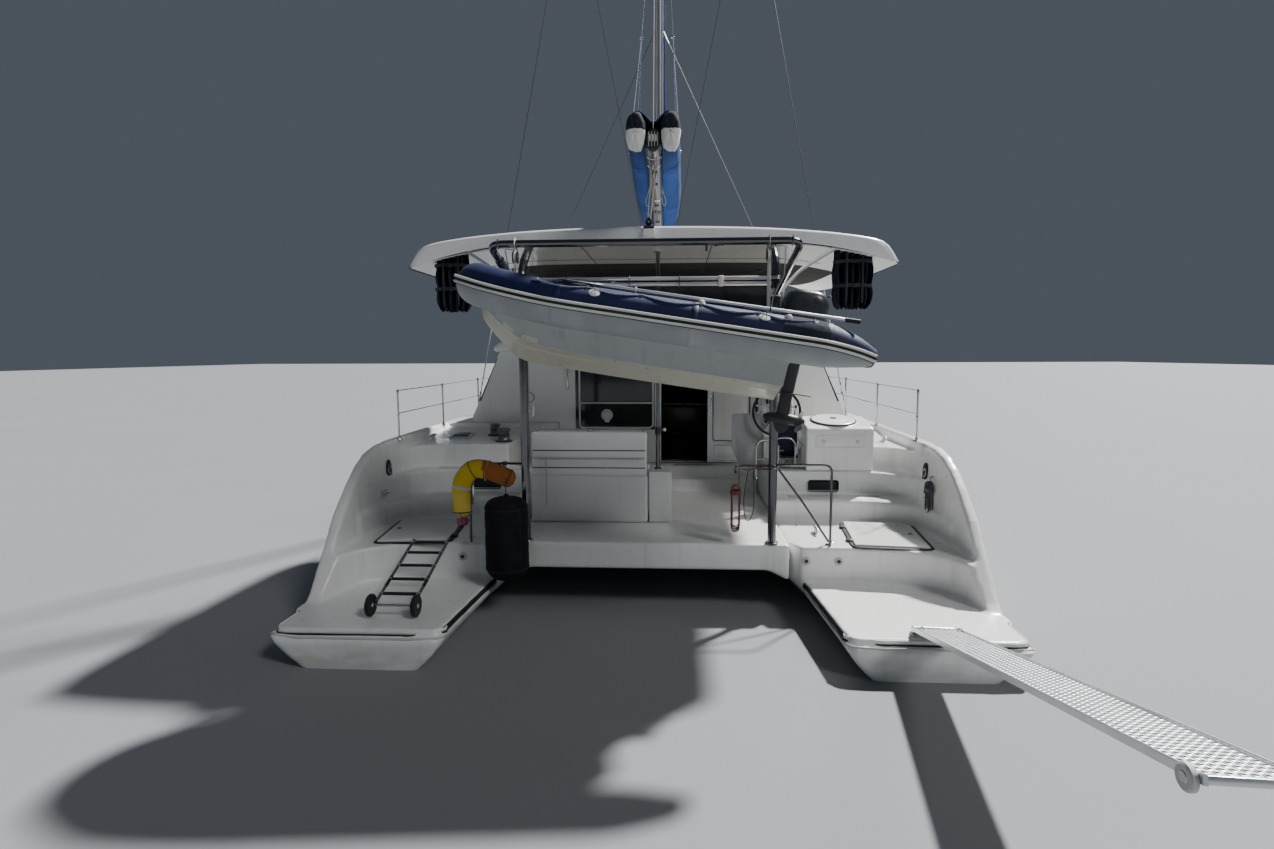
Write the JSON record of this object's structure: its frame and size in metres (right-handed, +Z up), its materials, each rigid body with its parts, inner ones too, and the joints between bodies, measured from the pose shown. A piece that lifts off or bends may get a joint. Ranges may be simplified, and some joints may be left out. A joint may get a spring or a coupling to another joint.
{
  "type": "sailing catamaran",
  "caption": "Cruising sailing catamaran with two hulls, saloon, cockpit hardtop, mast and stowed mainsail, tender on stern davits.",
  "frame": {"origin": "on the centreline at the waterline, 6.45 m forward of the bathing platforms' aft edge", "axes": "+X starboard, +Y towards the bows, +Z up the mast"},
  "size_m": [7.2036, 16.7387, 20.75],
  "materials": {
    "gelcoat": "glossy white moulding",
    "stainless": "polished",
    "alloy": "anodised",
    "dark_glass": "tinted",
    "blue_cloth": "woven acrylic",
    "navy_rubber": "coated fabric",
    "grey_rubber": "satin",
    "black_plastic": "satin",
    "yellow_cloth": "coated",
    "cushion_cloth": "vinyl",
    "net": "woven net",
    "bronze": "cast",
    "engine_paint": "semi-gloss",
    "antifouling": "matt",
    "dark_cloth": "woven acrylic"
  },
  "bodies": {
    "boat": {"starboard_hull": "gelcoat", "port_hull": "gelcoat", "bridge_deck": "gelcoat", "cabin_wall": "gelcoat", "cabin_glazing": "dark_glass", "coachroof": "gelcoat", "aft_bulkhead": "gelcoat", "bulkhead_pane": "dark_glass", "hardtop": "gelcoat", "starboard_aft_post": "stainless", "port_aft_post": "stainless", "starboard_roof_strut": "stainless", "port_roof_strut": "stainless", "davit_frame": "stainless", "post_rails": "stainless", "front_beam": "alloy", "centre_spar": "alloy", "starboard_trampoline": "net", "port_trampoline": "net", "mast": "alloy", "starboard_shroud": "stainless", "port_shroud": "stainless", "furled_jib": "blue_cloth", "starboard_guard_rail": "stainless", "port_guard_rail": "stainless", "cockpit_settee": "cushion_cloth", "side_box": "gelcoat", "helm_console": "gelcoat", "helm_seat": "black_plastic", "deck_box": "gelcoat", "starboard_saildrive": "engine_paint", "port_saildrive": "engine_paint", "starboard_engine": "engine_paint", "port_engine": "engine_paint", "boarding_ladder": "alloy", "fender": "black_plastic", "horseshoe_buoy": "yellow_cloth", "starboard_stern_rail": "stainless", "port_stern_rail": "stainless", "windscreen": "dark_glass", "starboard_rolled_curtain": "dark_cloth", "port_rolled_curtain": "dark_cloth"},
    "boom_body": {"boom": "alloy", "sail_bag": "blue_cloth"},
    "starboard_rudder_body": {"starboard_rudder": "antifouling"},
    "port_rudder_body": {"port_rudder": "antifouling"},
    "starboard_screw": {"starboard_propeller": "bronze"},
    "port_screw": {"port_propeller": "bronze"},
    "wheel": {"helm_wheel": "stainless"},
    "sliding_door": {"saloon_door": "alloy", "door_pane": "dark_glass"},
    "starboard_lid": {"starboard_engine_hatch": "gelcoat"},
    "port_lid": {"port_engine_hatch": "gelcoat"},
    "plank": {"gangplank": "alloy"},
    "tender": {"tender_tube": "navy_rubber", "tender_hull": "grey_rubber", "outboard": "black_plastic", "port_fall": "black_plastic", "starboard_fall": "black_plastic"}
  },
  "joints": [
    {"name": "boom_swing", "type": "hinge", "parent": "boat", "child": "boom_body", "pos_m": [0, 0.44, 5.08], "axis": [0, 0, 1], "range_deg": [-60, 60]},
    {"name": "port_rudder_turn", "type": "hinge", "parent": "boat", "child": "port_rudder_body", "pos_m": [-2.64, -5.5, -0.4], "axis": [0, 0, 1], "range_deg": [-35, 35]},
    {"name": "starboard_rudder_turn", "type": "hinge", "parent": "boat", "child": "starboard_rudder_body", "pos_m": [2.64, -5.5, -0.4], "axis": [0, 0, 1], "range_deg": [-35, 35]},
    {"name": "helm_wheel_turn", "type": "hinge", "parent": "boat", "child": "wheel", "pos_m": [1.79, -2.33, 2.06], "axis": [0, 1, 0], "range_deg": [-420, 420]},
    {"name": "starboard_propeller_spin", "type": "hinge", "parent": "boat", "child": "starboard_screw", "pos_m": [2.64, -3.885, -0.93], "axis": [0, 1, 0], "continuous": true},
    {"name": "port_propeller_spin", "type": "hinge", "parent": "boat", "child": "port_screw", "pos_m": [-2.64, -3.885, -0.93], "axis": [0, 1, 0], "continuous": true},
    {"name": "saloon_door_slide", "type": "slide", "parent": "boat", "child": "sliding_door", "axis": [1, 0, 0], "range_m": [-0.77, 0]},
    {"name": "starboard_hatch_lift", "type": "hinge", "parent": "boat", "child": "starboard_lid", "pos_m": [2.382, -4.278, 0.795], "axis": [-0.1048, -0.9945, 0], "range_deg": [0, 80]},
    {"name": "port_hatch_lift", "type": "hinge", "parent": "boat", "child": "port_lid", "pos_m": [-2.382, -4.278, 0.795], "axis": [-0.1048, 0.9945, 0], "range_deg": [0, 80]},
    {"name": "gangplank_lift", "type": "hinge", "parent": "boat", "child": "plank", "pos_m": [2.664, -6.251, 0.4004], "axis": [0.9984, -0.057, 0], "range_deg": [-60, 11]},
    {"name": "tender_hoist", "type": "slide", "parent": "boat", "child": "tender", "axis": [0, 0, 1], "range_m": [-1.2, 0]}
  ],
  "couplings": [
    {"joint": "starboard_rudder_turn", "follows": "port_rudder_turn", "ratio": 1},
    {"joint": "helm_wheel_turn", "follows": "port_rudder_turn", "ratio": 12}
  ]
}
